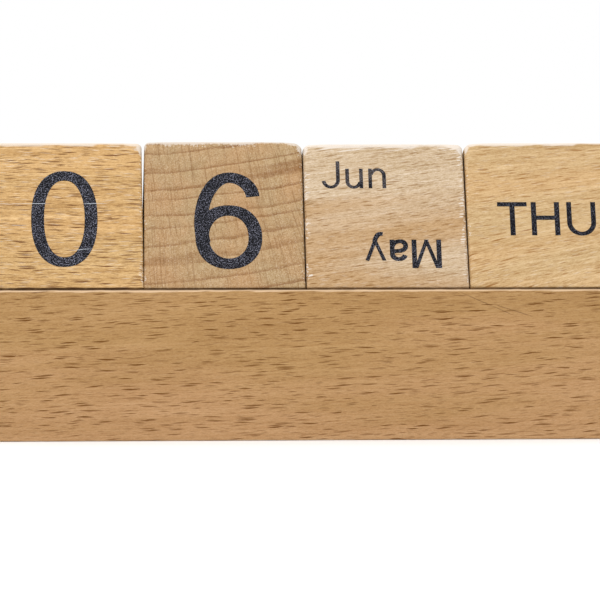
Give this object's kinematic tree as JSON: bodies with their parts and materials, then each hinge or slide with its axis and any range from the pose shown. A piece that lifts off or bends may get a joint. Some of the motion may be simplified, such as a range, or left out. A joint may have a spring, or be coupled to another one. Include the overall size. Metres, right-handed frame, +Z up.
{
  "type": "wooden block calendar",
  "caption": "Desk calendar of loose beech blocks printed with the date, month and weekday, leaning in a row in a groove along a beech bar.",
  "frame": {"origin": "middle of the base's underside, which is the lowest face", "axes": "+X along the bar to the reader's right, +Y from the front face to the back, +Z up"},
  "size_m": [0.166, 0.055, 0.074],
  "materials": {
    "base_beech": "oiled flat-sawn beech with short dark flecks",
    "block_beech": "sanded pale beech with short dark flecks",
    "block_end_grain": "sanded beech with the growth rings across its face",
    "print_ink": "matt charcoal ink printed on the wood"
  },
  "bodies": {
    "base": {"base": "base_beech"},
    "tens": {"tens_block": "block_beech"},
    "units": {"units_block": "block_end_grain"},
    "month": {"month_block": "block_beech"},
    "weekday": {"weekday_block": "block_beech"}
  },
  "joints": [
    {"name": "tens_lift", "type": "slide", "parent": "base", "child": "tens", "axis": [0, 0.4226, 0.9063], "range_m": [0, 0.055]},
    {"name": "units_lift", "type": "slide", "parent": "base", "child": "units", "axis": [0, 0.4226, 0.9063], "range_m": [0, 0.055]},
    {"name": "month_lift", "type": "slide", "parent": "base", "child": "month", "axis": [0, 0.4226, 0.9063], "range_m": [0, 0.055]},
    {"name": "weekday_lift", "type": "slide", "parent": "base", "child": "weekday", "axis": [0, 0.4226, 0.9063], "range_m": [0, 0.055]}
  ]
}
